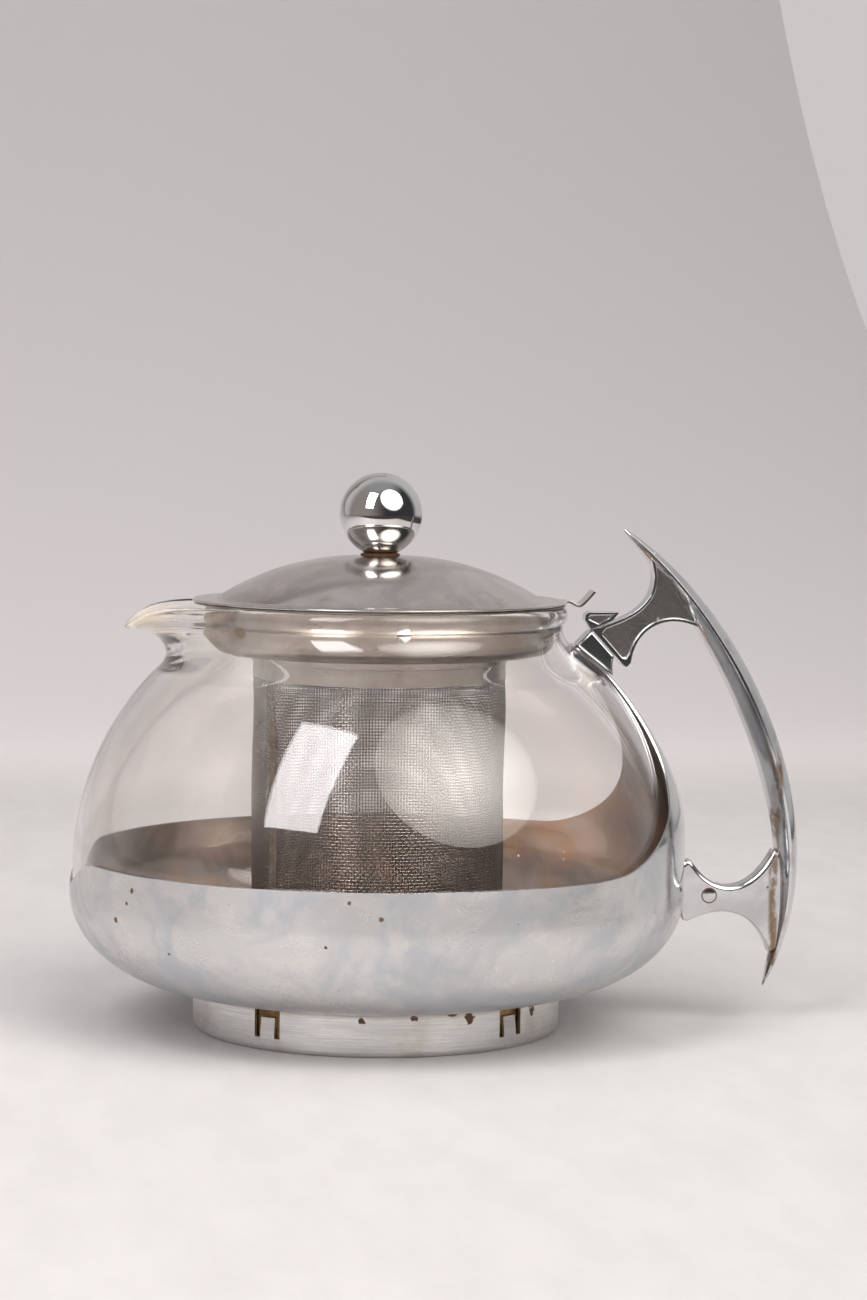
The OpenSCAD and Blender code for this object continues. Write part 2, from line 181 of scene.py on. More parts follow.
def apply_modifiers(obj):
    graph = bpy.context.evaluated_depsgraph_get()
    made = bpy.data.meshes.new_from_object(obj.evaluated_get(graph))
    obj.modifiers.clear()
    obj.data = made
    return obj


def bevel(obj, width, segments=2, angle=35):
    m = obj.modifiers.new("bevel", "BEVEL")
    m.width, m.segments, m.limit_method, m.angle_limit = width * MM, segments, "ANGLE", math.radians(angle)
    return m


def slab(outline, thick, y=0.0):
    """Vertices and faces of an outline in the XZ plane, extruded along Y."""
    n = len(outline)
    verts = [(p[0], y + s * thick / 2, p[1]) for s in (-1, 1) for p in outline]
    faces = [tuple(range(n)), tuple(range(2 * n - 1, n - 1, -1))]
    faces += [(i, (i + 1) % n, n + (i + 1) % n, n + i) for i in range(n)]
    return verts, faces


def raw(name, verts, faces):
    """An unfinished object, for modifiers to work on."""
    obj = mesh_object(name, verts, faces)
    bm = bmesh.new()
    bm.from_mesh(obj.data)
    bmesh.ops.recalc_face_normals(bm, faces=bm.faces)
    bm.to_mesh(obj.data)
    bm.free()
    return obj


def carve(obj, outline, depth, y):
    """Cuts the outline out of both side faces, between y - depth / 2 and y + depth / 2 on each side."""
    for s in (-1, 1):
        cutter = raw("cutter", *slab(outline, depth, s * y))
        cut = obj.modifiers.new("cut", "BOOLEAN")
        cut.operation, cut.solver, cut.object = "DIFFERENCE", "EXACT", cutter
        apply_modifiers(obj)
        bpy.data.objects.remove(cutter)


def finish_piece(obj, mat, body, replaces=()):
    """Turns a raw object with modifiers into a finished piece."""
    apply_modifiers(obj)
    obj.data.materials.clear()
    obj.data.materials.append(mat)
    tidy(obj)
    crisp(obj)
    return declare(obj, body, replaces)


def sheet_faces(rows, cols):
    """Faces of a thin sheet: two grids of points, one after the other, closed round their edge."""
    size = rows * cols
    side = grid_faces(rows, cols, False)
    rim = [i * cols for i in range(rows)] + [(rows - 1) * cols + j for j in range(1, cols)]
    rim += [i * cols + cols - 1 for i in range(rows - 2, -1, -1)] + list(range(cols - 2, 0, -1))
    faces = side + [tuple(p + size for p in f) for f in side]
    return faces + [(p, q, q + size, p + size) for p, q in zip(rim, rim[1:] + rim[:1])]


# -------- materials
class Nodes:
    """A node tree, with short names for the nodes used here."""

    def __init__(self, tree, coordinate):
        self.tree = tree
        tree.nodes.clear()
        self.co = self.add("TexCoord").outputs[coordinate]

    def add(self, kind):
        return self.tree.nodes.new("ShaderNode" + kind)

    def link(self, a, b):
        self.tree.links.new(a, b)

    def put(self, value, socket):
        if isinstance(value, bpy.types.NodeSocket):
            self.link(value, socket)
        elif isinstance(value, (tuple, list)) and len(value) == 3 and len(socket.default_value) == 4:
            socket.default_value = (*value, 1)
        else:
            socket.default_value = value

    def math(self, op, a, b):
        n = self.add("Math")
        n.operation = op
        self.put(a, n.inputs[0])
        self.put(b, n.inputs[1])
        return n.outputs[0]

    def plus(self, a, b):
        return self.math("ADD", a, b)

    def less(self, a, b):
        return self.math("SUBTRACT", a, b)

    def times(self, a, b):
        return self.math("MULTIPLY", a, b)

    def most(self, a, b):
        return self.math("MAXIMUM", a, b)

    def stretch(self, scale):
        n = self.add("VectorMath")
        n.operation = "MULTIPLY"
        self.link(self.co, n.inputs[0])
        n.inputs[1].default_value = scale
        return n.outputs[0]

    def axis(self, i):
        n = self.add("SeparateXYZ")
        self.link(self.co, n.inputs[0])
        return n.outputs[i]

    def radius(self):
        n = self.add("VectorMath")
        n.operation = "LENGTH"
        self.link(self.stretch((1, 1, 0)), n.inputs[0])
        return n.outputs["Value"]

    def noise(self, scale, detail=4.0, rough=0.55, stretch=None, warp=0.0, vector=None):
        n = self.add("TexNoise")
        self.link(vector or (self.stretch(stretch) if stretch else self.co), n.inputs["Vector"])
        n.inputs["Scale"].default_value = scale
        n.inputs["Detail"].default_value = detail
        n.inputs["Roughness"].default_value = rough
        n.inputs["Distortion"].default_value = warp
        return n.outputs["Fac"]

    def span(self, value, a, b, low=0.0, high=1.0, kind="SMOOTHSTEP"):
        n = self.add("MapRange")
        n.interpolation_type = kind
        self.put(value, n.inputs["Value"])
        for k, v in zip(("From Min", "From Max", "To Min", "To Max"), (a, b, low, high)):
            n.inputs[k].default_value = v
        return n.outputs["Result"]

    def mix(self, fac, a, b):
        n = self.add("Mix")
        n.data_type = "RGBA"
        self.put(fac, n.inputs[0])
        self.put(a, n.inputs[6])
        self.put(b, n.inputs[7])
        return n.outputs[2]

    def spots(self, scale, size, share, stretch=None):
        """1 inside small scattered round spots, on that share of the cells."""
        cells = self.add("TexVoronoi")
        self.link(self.stretch(stretch) if stretch else self.co, cells.inputs["Vector"])
        cells.inputs["Scale"].default_value = scale
        d = cells.outputs["Distance"]
        pick = self.add("SeparateColor")
        self.link(cells.outputs["Color"], pick.inputs[0])
        chosen = self.math("LESS_THAN", pick.outputs[0], share)
        rim = self.times(pick.outputs[1], size)
        near = self.span(self.less(d, rim), 0.0, size * 0.45, 1.0, 0.0)
        return self.times(near, chosen)

    def marks(self, places, size, ragged=0.6):
        """1 inside ragged patches about the given points, each (azimuth, radius, height, scale)."""
        wander = self.less(self.noise(0.9 / size, 4, 0.6), 0.5)
        torn = self.times(wander, ragged * 2 * size)
        total = None
        for az, r, z, scale in places:
            t = math.radians(az)
            n = self.add("VectorMath")
            n.operation = "DISTANCE"
            self.link(self.co, n.inputs[0])
            n.inputs[1].default_value = (r * math.cos(t) * MM, r * math.sin(t) * MM, z * MM)
            edge = self.plus(n.outputs["Value"], torn)
            near = self.span(edge, size * scale * 0.8, size * scale, 1.0, 0.0)
            total = near if total is None else self.most(total, near)
        return total


class Look(Nodes):
    """A Principled material."""

    def __init__(self, name, color=(0.8, 0.8, 0.8), metallic=1.0, rough=0.3, **sockets):
        self.mat = bpy.data.materials.new(name)
        self.mat.use_nodes = True
        super().__init__(self.mat.node_tree, "Object")
        self.out, self.bsdf = self.add("OutputMaterial"), self.add("BsdfPrincipled")
        self.link(self.bsdf.outputs[0], self.out.inputs[0])
        sockets |= {"Base_Color": color, "Metallic": metallic, "Roughness": rough}
        for k, v in sockets.items():
            self.set(k.replace("_", " "), v)

    def set(self, name, value):
        self.put(value, self.bsdf.inputs[name])

    def colour(self, value):
        self.set("Base Color", value)

    def rough(self, value, low, high):
        """Roughness that follows the middle of a noise, from low to high."""
        self.set("Roughness", self.span(value, 0.3, 0.7, low, high))

    def bump(self, height, strength=0.3, distance=0.0005, after=None):
        n = self.add("Bump")
        n.inputs["Strength"].default_value = strength
        n.inputs["Distance"].default_value = distance
        self.link(height, n.inputs["Height"])
        if after is not None:
            self.link(after, n.inputs["Normal"])
        self.link(n.outputs[0], self.bsdf.inputs["Normal"])
        return n.outputs[0]


# worn places, and grip nicks painted as highlights, each (azimuth in degrees, radius, height, relative size)
SHELL_PITS = [(-94.5, 84.6, 42.0, 1.0), (-100, 84.6, 46.0, 0.8), (-104, 84.3, 34.6, 0.7),
              (-145.5, 84.6, 41.0, 0.8), (-149, 84.5, 36.0, 1.3), (-135.5, 82.6, 29.3, 0.7),
              (-144, 84.6, 44.5, 1.1)]
FOOT_PATCHES = [(-66, 50.6, 9.8, 1.3), (-84, 50.6, 10.5, 0.7), (-39.5, 50.6, 9.0, 1.0),
                (-99.5, 50.6, 9.8, 0.7)]
CUP_DENT = (-145, COLLAR_R, 110.5, 1.0)
GRIP_NICK_HIGHLIGHTS = [(-3.4, 121.2, 80.5, 1.0), (-4.0, 124.5, 62.0, 0.5)]


def chrome_shell():
    k = Look("hazy_chrome")
    cloud = k.noise(38, 6, 0.62, warp=0.9)
    patch = k.noise(95, 4, 0.6)
    streak = k.noise(60, 4, 0.6, stretch=(1, 1, 5))
    smoke = k.noise(14, 6, 0.65, stretch=(1, 1, 1.8), warp=1.2)
    base = k.mix(k.span(cloud, 0.42, 0.60), (0.67, 0.665, 0.66), (0.565, 0.585, 0.62))
    base = k.mix(k.span(patch, 0.50, 0.66, 0, 0.6), base, (0.76, 0.74, 0.715))
    base = k.mix(k.span(smoke, 0.50, 0.66, 0, 0.6), base, (0.50, 0.505, 0.52))
    pits = k.most(k.spots(150, 0.04, 0.08), k.marks(SHELL_PITS, 0.0007))
    grains = k.spots(420, 0.12, 0.10)
    dark = k.most(pits, k.times(grains, k.span(cloud, 0.45, 0.62)))
    base = k.mix(dark, base, (0.13, 0.075, 0.05))
    k.colour(base)
    rough = k.plus(k.span(cloud, 0.36, 0.66, 0.24, 0.40), k.span(streak, 0.3, 0.7, 0.0, 0.08))
    bright = k.times(k.span(k.axis(0), 0.040, 0.066), k.span(k.axis(2), 0.032, 0.042))
    rough = k.times(rough, k.less(1.0, k.times(bright, 0.76)))
    k.set("Roughness", k.most(rough, k.times(dark, 0.7)))
    k.set("Metallic", k.span(dark, 0.0, 1.0, 1.0, 0.2, "LINEAR"))
    low = k.bump(k.noise(16, 2), 0.25, 0.0012)
    fine = k.less(k.noise(900, 3), k.times(dark, 1.5))
    k.bump(fine, 0.18, 0.00012, low)
    return k.mat


def tarnish():
    k = Look("tarnished_inside")
    cloud = k.noise(32, 5, 0.6, warp=0.8)
    base = k.mix(k.span(cloud, 0.35, 0.65), (0.42, 0.35, 0.30), (0.24, 0.195, 0.17))
    base = k.mix(k.span(k.noise(38, 4), 0.50, 0.68, 0, 0.9), base, (0.50, 0.31, 0.18))
    k.colour(k.mix(k.spots(260, 0.1, 0.2), base, (0.62, 0.58, 0.52)))
    k.rough(cloud, 0.28, 0.48)
    k.bump(k.noise(500, 4), 0.2, 0.0002)
    return k.mat


def satin_foot():
    k = Look("satin_foot")
    lines = k.noise(90, 6, 0.7, stretch=(1, 1, 40))
    cloud = k.noise(40, 5, 0.6)
    base = k.mix(k.span(lines, 0.35, 0.65), (0.80, 0.79, 0.775), (0.66, 0.65, 0.64))
    base = k.mix(k.span(cloud, 0.5, 0.72, 0, 0.6), base, (0.50, 0.43, 0.35))
    rust = k.times(k.spots(130, 0.22, 0.14, (1, 1, 1.6)), k.span(k.axis(2), 0.0055, 0.0100))
    rust = k.most(rust, k.spots(300, 0.16, 0.06))
    rust = k.most(rust, k.marks(FOOT_PATCHES, 0.0013, 1.0))
    # painted shade: the ring's top band, under the shell's overhang, is darkened in its colour
    base = k.mix(k.span(k.axis(2), 0.0098, 0.0116, 0, 0.75), base, (0.26, 0.22, 0.19))
    base = k.mix(rust, base, (0.15, 0.085, 0.045))
    k.colour(base)
    k.set("Roughness", k.most(k.span(lines, 0.3, 0.7, 0.26, 0.42), k.times(rust, 0.8)))
    k.set("Metallic", k.span(rust, 0.0, 1.0, 1.0, 0.1, "LINEAR"))
    k.bump(k.less(lines, k.times(rust, 0.6)), 0.22, 0.0002)
    return k.mat


def casting():
    k = Look("polished_casting")
    cloud = k.noise(45, 5, 0.6, warp=0.5)
    base = k.mix(k.span(cloud, 0.4, 0.66), (0.66, 0.665, 0.68), (0.51, 0.51, 0.525))
    pits = k.spots(330, 0.10, 0.12)
    x = k.axis(0)
    crevice = k.times(k.span(x, 0.1088, 0.1103), k.span(x, 0.1126, 0.1112))
    crevice = k.times(crevice, k.span(k.noise(210, 5, 0.7, stretch=(1, 1, 0.5)), 0.40, 0.60))
    grime = k.times(k.span(k.noise(120, 6, 0.7), 0.56, 0.74), 0.4)
    grime = k.most(crevice, grime)
    base = k.mix(grime, base, (0.27, 0.19, 0.13))
    # painted highlight: the grip nicks are painted near white, standing in for the glint on them
    nick_highlight = k.marks(GRIP_NICK_HIGHLIGHTS, 0.0013, 0.9)
    base = k.mix(nick_highlight, base, (0.95, 0.94, 0.93))
    k.colour(k.mix(pits, base, (0.24, 0.21, 0.18)))
    worn = k.most(nick_highlight, k.times(grime, 0.45))
    worn = k.most(k.times(pits, 0.5), worn)
    k.set("Roughness", k.most(k.span(cloud, 0.3, 0.7, 0.07, 0.17), worn))
    low = k.bump(k.noise(40, 2), 0.2, 0.0006)
    k.bump(k.less(k.noise(1100, 3), pits), 0.10, 0.0001, low)
    return k.mat


def rough_web():
    k = Look("cast_web")
    cloud = k.noise(60, 5, 0.6)
    base = k.mix(k.span(cloud, 0.35, 0.65), (0.38, 0.36, 0.345), (0.22, 0.205, 0.195))
    flecks = k.spots(430, 0.20, 0.42)
    k.colour(k.mix(flecks, base, (0.85, 0.85, 0.84)))
    k.rough(cloud, 0.22, 0.34)
    k.bump(k.plus(k.noise(800, 4), flecks), 0.25, 0.00015)
    return k.mat


def steel_lid():
    k = Look("lid_steel")
    r = k.radius()
    rings = k.add("CombineXYZ")
    k.link(r, rings.inputs[0])
    turned = k.noise(1500, 3, 0.6, vector=rings.outputs[0])
    cloud = k.noise(38, 6, 0.65, warp=1.2)
    base = k.mix(k.span(cloud, 0.36, 0.66), (0.67, 0.63, 0.60), (0.52, 0.48, 0.45))
    base = k.mix(k.span(k.noise(120, 5, 0.7), 0.56, 0.72, 0, 0.6), base, (0.46, 0.38, 0.32))
    k.colour(k.mix(k.spots(240, 0.06, 0.07), base, (0.18, 0.12, 0.09)))
    k.set("Roughness", k.plus(k.span(cloud, 0.3, 0.7, 0.10, 0.19), k.span(turned, 0.3, 0.7, 0, 0.04)))
    low = k.bump(k.noise(22, 2), 0.2, 0.0008)
    k.bump(k.plus(k.times(turned, 0.6), k.noise(700, 4)), 0.08, 0.0001, low)
    return k.mat


def steel_infuser():
    k = Look("infuser_steel")
    cloud = k.noise(45, 5, 0.6, warp=0.5)
    lines = k.noise(120, 4, 0.6, stretch=(1, 1, 12))
    base = k.mix(k.span(cloud, 0.36, 0.64), (0.47, 0.42, 0.375), (0.36, 0.305, 0.26))
    stain = k.most(k.spots(170, 0.10, 0.08), k.marks([CUP_DENT], 0.0026))
    k.colour(k.mix(k.times(stain, 0.75), base, (0.30, 0.19, 0.11)))
    k.rough(lines, 0.27, 0.38)
    k.bump(k.plus(k.times(lines, 0.35), k.noise(600, 3)), 0.10, 0.00012)
    return k.mat


def wire():
    k = Look("woven_wire")
    cloud = k.noise(40, 4, 0.6)
    base = k.mix(k.span(cloud, 0.35, 0.65), (0.54, 0.505, 0.48), (0.38, 0.345, 0.32))
    stain = k.times(k.span(k.axis(2), 0.070, 0.036), k.span(k.noise(60, 4), 0.30, 0.6, 0.35, 1.0))
    k.colour(k.mix(stain, base, (0.26, 0.185, 0.14)))
    k.rough(cloud, 0.18, 0.28)
    k.bump(k.noise(2500, 2), 0.12, 0.00005)
    return k.mat


def seam():
    k = Look("welded_seam")
    cloud = k.noise(130, 5, 0.65)
    weave = k.noise(900, 3, 0.7)
    base = k.mix(k.span(cloud, 0.35, 0.65), (0.27, 0.22, 0.18), (0.16, 0.12, 0.095))
    k.colour(k.mix(k.span(weave, 0.56, 0.66), base, (0.42, 0.38, 0.34)))
    k.rough(cloud, 0.40, 0.58)
    k.bump(weave, 0.5, 0.0003)
    return k.mat


def mirror():
    k = Look("mirror_ball")
    cloud = k.noise(90, 5, 0.6)
    base = k.mix(k.span(cloud, 0.4, 0.66), (0.76, 0.76, 0.76), (0.66, 0.65, 0.64))
    marks = k.spots(420, 0.10, 0.10)
    k.colour(k.mix(marks, base, (0.85, 0.85, 0.85)))
    k.set("Roughness", k.plus(k.span(cloud, 0.3, 0.7, 0.03, 0.09), k.times(marks, 0.25)))
    k.bump(k.plus(k.noise(260, 4), marks), 0.06, 0.0001)
    return k.mat


def rust():
    k = Look("rust", metallic=0.3)
    k.colour(k.mix(k.noise(500, 5), (0.0558, 0.0279, 0.0155), (0.186, 0.093, 0.0434)))
    k.rough(k.noise(300, 4), 0.5, 0.85)
    k.bump(k.noise(1200, 5), 0.5, 0.0003)
    return k.mat


def brass():
    k = Look("old_brass")
    cloud = k.noise(120, 5, 0.65)
    k.colour(k.mix(k.span(cloud, 0.35, 0.65), (0.42, 0.285, 0.12), (0.18, 0.105, 0.0525)))
    k.rough(cloud, 0.30, 0.5)
    k.bump(k.noise(500, 4), 0.2, 0.0002)
    return k.mat


def screw():
    k = Look("screw_steel")
    cloud = k.noise(200, 4)
    k.colour(k.mix(cloud, (0.55, 0.53, 0.50), (0.36, 0.33, 0.30)))
    k.rough(cloud, 0.28, 0.45)
    k.bump(k.noise(900, 3), 0.2, 0.0001)
    return k.mat


def glass():
    k = Look("blown_glass", (0.985, 0.970, 0.955), 0.0, 0.0, Transmission_Weight=1.0, IOR=1.47)
    x, z = k.axis(0), k.axis(2)
    lip = k.times(k.span(x, -0.052, -0.066), k.span(z, 0.094, 0.108))
    stain = k.times(lip, k.span(k.noise(95, 5, 0.65, warp=0.6), 0.30, 0.62, 0.35, 1.0))
    film = k.times(k.span(k.noise(26, 5, 0.6, stretch=(1, 1, 0.25)), 0.46, 0.70), k.span(x, 0.02, -0.06))
    base = k.mix(k.times(film, 0.5), (0.985, 0.970, 0.958), (0.94, 0.885, 0.845))
    k.colour(k.mix(stain, base, (0.94, 0.85, 0.72)))
    specks = k.spots(210, 0.05, 0.05)
    veil = k.most(k.most(k.times(film, 0.08), k.times(stain, 0.16)), k.times(specks, 0.5))
    k.set("Transmission Weight", k.less(1.0, veil))
    k.set("Roughness", k.plus(k.times(film, 0.03), k.times(stain, 0.12)))
    k.bump(k.noise(22, 2, 0.4, stretch=(1, 1, 0.5)), 0.10, 0.0012)
    clear = k.add("BsdfTransparent")
    clear.inputs[0].default_value = (0.95, 0.94, 0.92, 1)
    path = k.add("LightPath")
    both = k.add("MixShader")
    k.link(path.outputs["Is Shadow Ray"], both.inputs[0])
    k.link(k.bsdf.outputs[0], both.inputs[1])
    k.link(clear.outputs[0], both.inputs[2])
    k.link(both.outputs[0], k.out.inputs[0])
    return k.mat


LOOKS = (chrome_shell, tarnish, satin_foot, casting, rough_web, steel_lid, steel_infuser, wire, seam, mirror,
         rust, brass, screw, glass)
M = {look.__name__: look() for look in LOOKS}


# -------- glass body
def lip_plan(a):
    """How far the mouth is pulled out at azimuth a, from 0 to 1 at the lip's middle."""
    d = abs(a - 180) / LIP_HALF
    return 0.0 if d >= 1 else math.cos(math.radians(90 * d)) ** 1.7


def make_glass():
    up = glass_outside(44)
    under = oval((45, BELLY_Z - 3), GLASS_R - 45, BELLY_Z - 3 - GLASS_Z, -84, 0, 26)
    wall = [np.array([44.0, GLASS_Z])] + under + up
    inner = shifted(wall, GLASS_WALL)
    foot = through([(r, GLASS_Z + z) for r, z in ((0.0, 2.2), (20, 2.1), (34, 1.6), (38.6, 0.2), (41, 0))], 5)
    bead = through([(NECK_R, 110.6), (50.6, 111.6), (51.35, 112.6), (51.6, 113.8), (51.35, 115.2),
                    (50.6, 116.1), (49.7, MOUTH_Z), (48.8, 116.0), (48.3, 115.0), (48.2, 113.4)], 4)
    back = [p for p in inner[::-1] if GLASS_Z + 3.2 < p[1] < 112.4]
    floor = through([(r, GLASS_Z + z) for r, z in ((38.5, 4.3), (30, 4.7), (15, 4.9), (0.0, 5.0))], 5)
    profile = foot + wall[1:-1] + bead + back[1:] + floor
    angles = list(np.arange(-132, 132.1, 1.6)) + list(np.arange(132.8, 227.4, 0.8))
    verts = []
    for r, z in profile:
        for a in angles:
            s = smooth(LIP_LOW, MOUTH_Z - 0.5, z) * lip_plan(a % 360)
            rr = r + LIP_REACH * s if r > 1 else r
            t = math.radians(a)
            verts.append((rr * math.cos(t), rr * math.sin(t), z - LIP_DROP * s**5))
    faces = grid_faces(len(profile), len(angles), True, False)
    piece("blown_glass_body", verts, faces, M["glass"], "root", ["glass_body"], sharp=60)


make_glass()


# -------- holder shell
def shell_path():
    """The shell's outer profile, from the middle of its floor up to the tongue's top."""
    over = glass_outside(60)
    belly_gap, side_gap, top_gap = SHELL_R - SHEET - GLASS_R, 1.5, 0.35
    low = oval((50, SHELL_BELLY_Z), SHELL_R - 50, SHELL_BELLY_Z - FLOOR_Z, -90, 0, 40)
    top = shifted(over, -1.0) - np.array(over)
    high = []
    for p, n in zip(over[1:], top[1:]):
        gap = belly_gap + (side_gap - belly_gap) * smooth(BELLY_Z, 62, p[1])
        gap += (top_gap - side_gap) * smooth(62, 92, p[1])
        high.append(p + n * (gap + SHEET))
    return np.array([(0.0, FLOOR_Z), (25, FLOOR_Z)] + low + [p for p in high if p[0] > 50.9])


SHELL = shell_path()
SHELL_IN = shifted(SHELL, SHEET)
SHELL_IN[0][0] = 0.0


def at_height(path, z, start=20):
    """The fractional index of the path's point at height z, past its floor."""
    zs = path[start:, 1]
    i = int(np.searchsorted(zs, z))
    i = min(max(i, 1), len(zs) - 1)
    t = (z - zs[i - 1]) / (zs[i] - zs[i - 1])
    return start + i - 1 + min(max(t, 0), 1)


def at_index(path, f):
    i = min(int(f), len(path) - 2)
    return path[i] + (f - i) * (path[i + 1] - path[i])


TONGUE_ROUND = 3.0
EDGE = bez_path(TONGUE_EDGE, 60) + [np.array([TONGUE_W, TONGUE_TOP - TONGUE_ROUND])]
EDGE_Z, EDGE_Y = np.array([p[1] for p in EDGE]), np.array([p[0] for p in EDGE])


def tongue_half(z):
    """Half the tongue's width at height z."""
    if z > TONGUE_TOP - TONGUE_ROUND:
        d = min(TONGUE_ROUND, z - (TONGUE_TOP - TONGUE_ROUND))
        return TONGUE_W - TONGUE_ROUND + math.sqrt(max(0.0, TONGUE_ROUND**2 - d * d))
    return float(np.interp(z, EDGE_Z, EDGE_Y))


def rim_height(a):
    """Height of the shell's cut edge at azimuth a, in degrees from +X."""
    s = abs(math.sin(math.radians(a)))
    if abs(a) > 75:
        across = s * SHELL_R / DIP_HALF
        dips = abs(a) > 90 and across < 1
        return RIM_Z - (RIM_DIP * (1 + math.cos(math.pi * across)) / 2 if dips else 0.0)
    lo, hi = RIM_Z - 0.6, TONGUE_TOP

    def outside(z):
        return at_index(SHELL, at_height(SHELL, z))[0] * s - tongue_half(z)

    if outside(hi) <= 0:
        return hi
    if outside(lo) > 0:
        return RIM_Z
    for _ in range(40):
        mid = (lo + hi) / 2
        lo, hi = (mid, hi) if outside(mid) <= 0 else (lo, mid)
    ease = 0.5
    if lo >= RIM_Z + 16 * ease:
        return lo
    return RIM_Z + ease * math.log1p(math.exp(min(40.0, (lo - RIM_Z) / ease)))


def make_shell():
    half = list(np.arange(0, 16, 0.22)) + list(np.arange(16, 60, 0.7)) + list(np.arange(60, 148, 2.0))
    half += list(np.arange(148, 180.1, 1.0))
    angles = [-a for a in half[:0:-1] if a < 179.9] + half
    base = at_height(SHELL, 37.5)
    low = [0.0, 0.5, 1.0] + list(np.arange(2, base, 1.5)) + [base]
    high = 44
    cols = []
    for a in angles:
        top = at_height(SHELL, rim_height(a))
        cols.append(low + [base + (top - base) * (i / high) for i in range(1, high + 1)])
    rows = len(cols[0])
    verts = []
    order = [("out", i) for i in range(rows)] + [("edge", rows - 1)]
    order += [("in", i) for i in range(rows - 1, -1, -1)]
    for side, i in order:
        for a, c in zip(angles, cols):
            t = math.radians(a)
            out, back = at_index(SHELL, c[i]), at_index(SHELL_IN, c[i])
            p = {"out": out, "in": back, "edge": (out + back) / 2 + (0, 0.16)}[side]
            verts.append((p[0] * math.cos(t), p[0] * math.sin(t), p[1]))
    faces = grid_faces(len(order), len(angles), True, False)
    row = [f[0] // len(angles) for f in faces]
    index = [0 if i < rows - 1 else 1 if i > rows else 2 for i in row]
    looks = [M["chrome_shell"], M["tarnish"], M["casting"]]
    piece("plated_shell", verts, faces, looks, "root", ["holder_shell"], index, sharp=40)


make_shell()


# -------- foot ring and brass collar
def make_foot():
    slots = [-130.0, -50.0, 50.0, 130.0]
    slot_low, tab_top, slot_top, tab_dip = 3.6, 9.0, 11.2, 0.55
    edge_r, flange = 1.6, 6.0
    outer, inner = math.degrees(4.1 / FOOT_R), math.degrees(2.3 / FOOT_R)
    lines = set(np.round(np.arange(-180, 180, 2.0), 4))
    for s in slots:
        lines = {a for a in lines if abs(a - s) > outer + 0.4}
        lines |= {s - outer, s - inner, s - inner / 2, s, s + inner / 2, s + inner, s + outer}
    lines = sorted(lines)
    heights = [11.95, slot_top, tab_top, 7.2, 5.4, slot_low, edge_r]
    sheet_path = [(FOOT_R, z) for z in heights]
    for i in range(1, 7):
        t = math.radians(15 * i)
        sheet_path.append((FOOT_R - edge_r + edge_r * math.cos(t), edge_r - edge_r * math.sin(t)))
    sheet_path.append((FOOT_R - flange, 0.0))
    n = len(lines)
    verts = []
    for r, z in sheet_path:
        for a in lines:
            in_tab = slot_low < z <= tab_top and any(abs(a - s) < inner + 0.01 for s in slots)
            d = tab_dip * smooth(slot_low, tab_top, z) if in_tab else 0.0
            t = math.radians(a)
            verts.append(((r - d) * math.cos(t), (r - d) * math.sin(t), z))
    faces = []
    for f in grid_faces(len(sheet_path), n, True, False):
        z = (sheet_path[f[0] // n][1] + sheet_path[f[2] // n][1]) / 2
        a0, a1 = lines[f[0] % n], lines[f[1] % n]
        mid = (a0 + a1) / 2 if a1 > a0 else 180.0
        off = min(abs(mid - s) for s in slots)
        in_slot = off < outer and slot_low < z < slot_top
        if not in_slot or (off < inner and z < tab_top):
            faces.append(f)
    obj = raw("foot_band", verts, faces)
    thick = obj.modifiers.new("thick", "SOLIDIFY")
    thick.thickness, thick.offset, thick.use_even_offset = 1.0 * MM, -1.0, True
    bevel(obj, 0.12, 2, 50)
    finish_piece(obj, M["satin_foot"], "root", ["foot_ring"])


make_foot()
COLLAR_PATH = [(49.2, 3.2), (49.2, 11.8), (49.0, 12.0), (48.2, 12.0), (48.0, 11.8), (48.0, 3.4), (48.2, 3.2)]
lathe("brass_collar", COLLAR_PATH, M["brass"], "root", ["foot_collar"], 200)


# -------- handle
ALONG = (PLATE_B - PLATE_A) / np.linalg.norm(PLATE_B - PLATE_A)
WEB_DEPTH, EAR_T, EAR_DEPTH = 0.55, 5.0, 0.45


def band_mesh():
    """The bow: a lens-shaped section with hollow faces, tapering to a point at both ends."""
    stations, edge = 140, 0.35
    across = np.linspace(1, -1, 21)
    verts = []
    for i in range(stations + 1):
        t = 0.003 + 0.994 * i / stations
        p, q = bez(BAND_OUT, t), bez(BAND_OUT, t + 0.001)
        d = (q - p) / np.linalg.norm(q - p)
        n = np.array([d[1], -d[0]])
        fill = math.sin(math.pi * t) ** 0.62
        w, h = BAND_HALF_W * fill, BAND_T * fill
        e = min(edge, h * 0.12)
        hollow = h / 2 - e
        ring = [(y, hollow * y * y) for y in across] + [(y, h - hollow * y * y) for y in across[::-1]]
        verts += [((p + n * s)[0], y * w, (p + n * s)[1]) for y, s in ring]
    m = 2 * len(across)
    faces = grid_faces(stations + 1, m, True, False)
    faces += [tuple(range(m)), tuple(range((stations + 1) * m - 1, stations * m - 1, -1))]
    return verts, faces


def upper_arm():
    top = bez_path([(60.8, 110.6), (70.5, 113.8), (79, 118.0), (74.4, 130.2)], 22)
    low = bez_path([(69.6, 100.6), (70.8, 111.6), (82, 116.4), (93.2, 107.4)], 22)
    outline = [PLATE_B - 0.8 * ALONG, PLATE_B + np.array([0.6, 0.1])] + low
    outline += [(96.5, 106.5), (88, 117.5), (75.5, 131.5)] + top[::-1] + [PLATE_A + 0.9 * ALONG]
    upper = raw("upper_arm", *slab(outline, ARM_T))
    web = list(shifted(low, 1.0))[2:-1] + [(95.0, 108.6), (87, 118), (77.5, 130.0)]
    web += list(shifted(top, -0.9))[::-1][1:-1]
    web += [(61.5, 108.9), (61.7, 108.2), (66.2, 103.1), (67.1, 102.1), (68.1, 101.8)]
    carve(upper, web, 2 * WEB_DEPTH, ARM_T / 2)
    bevel(upper, 0.22, 3, 40)
    return apply_modifiers(upper)


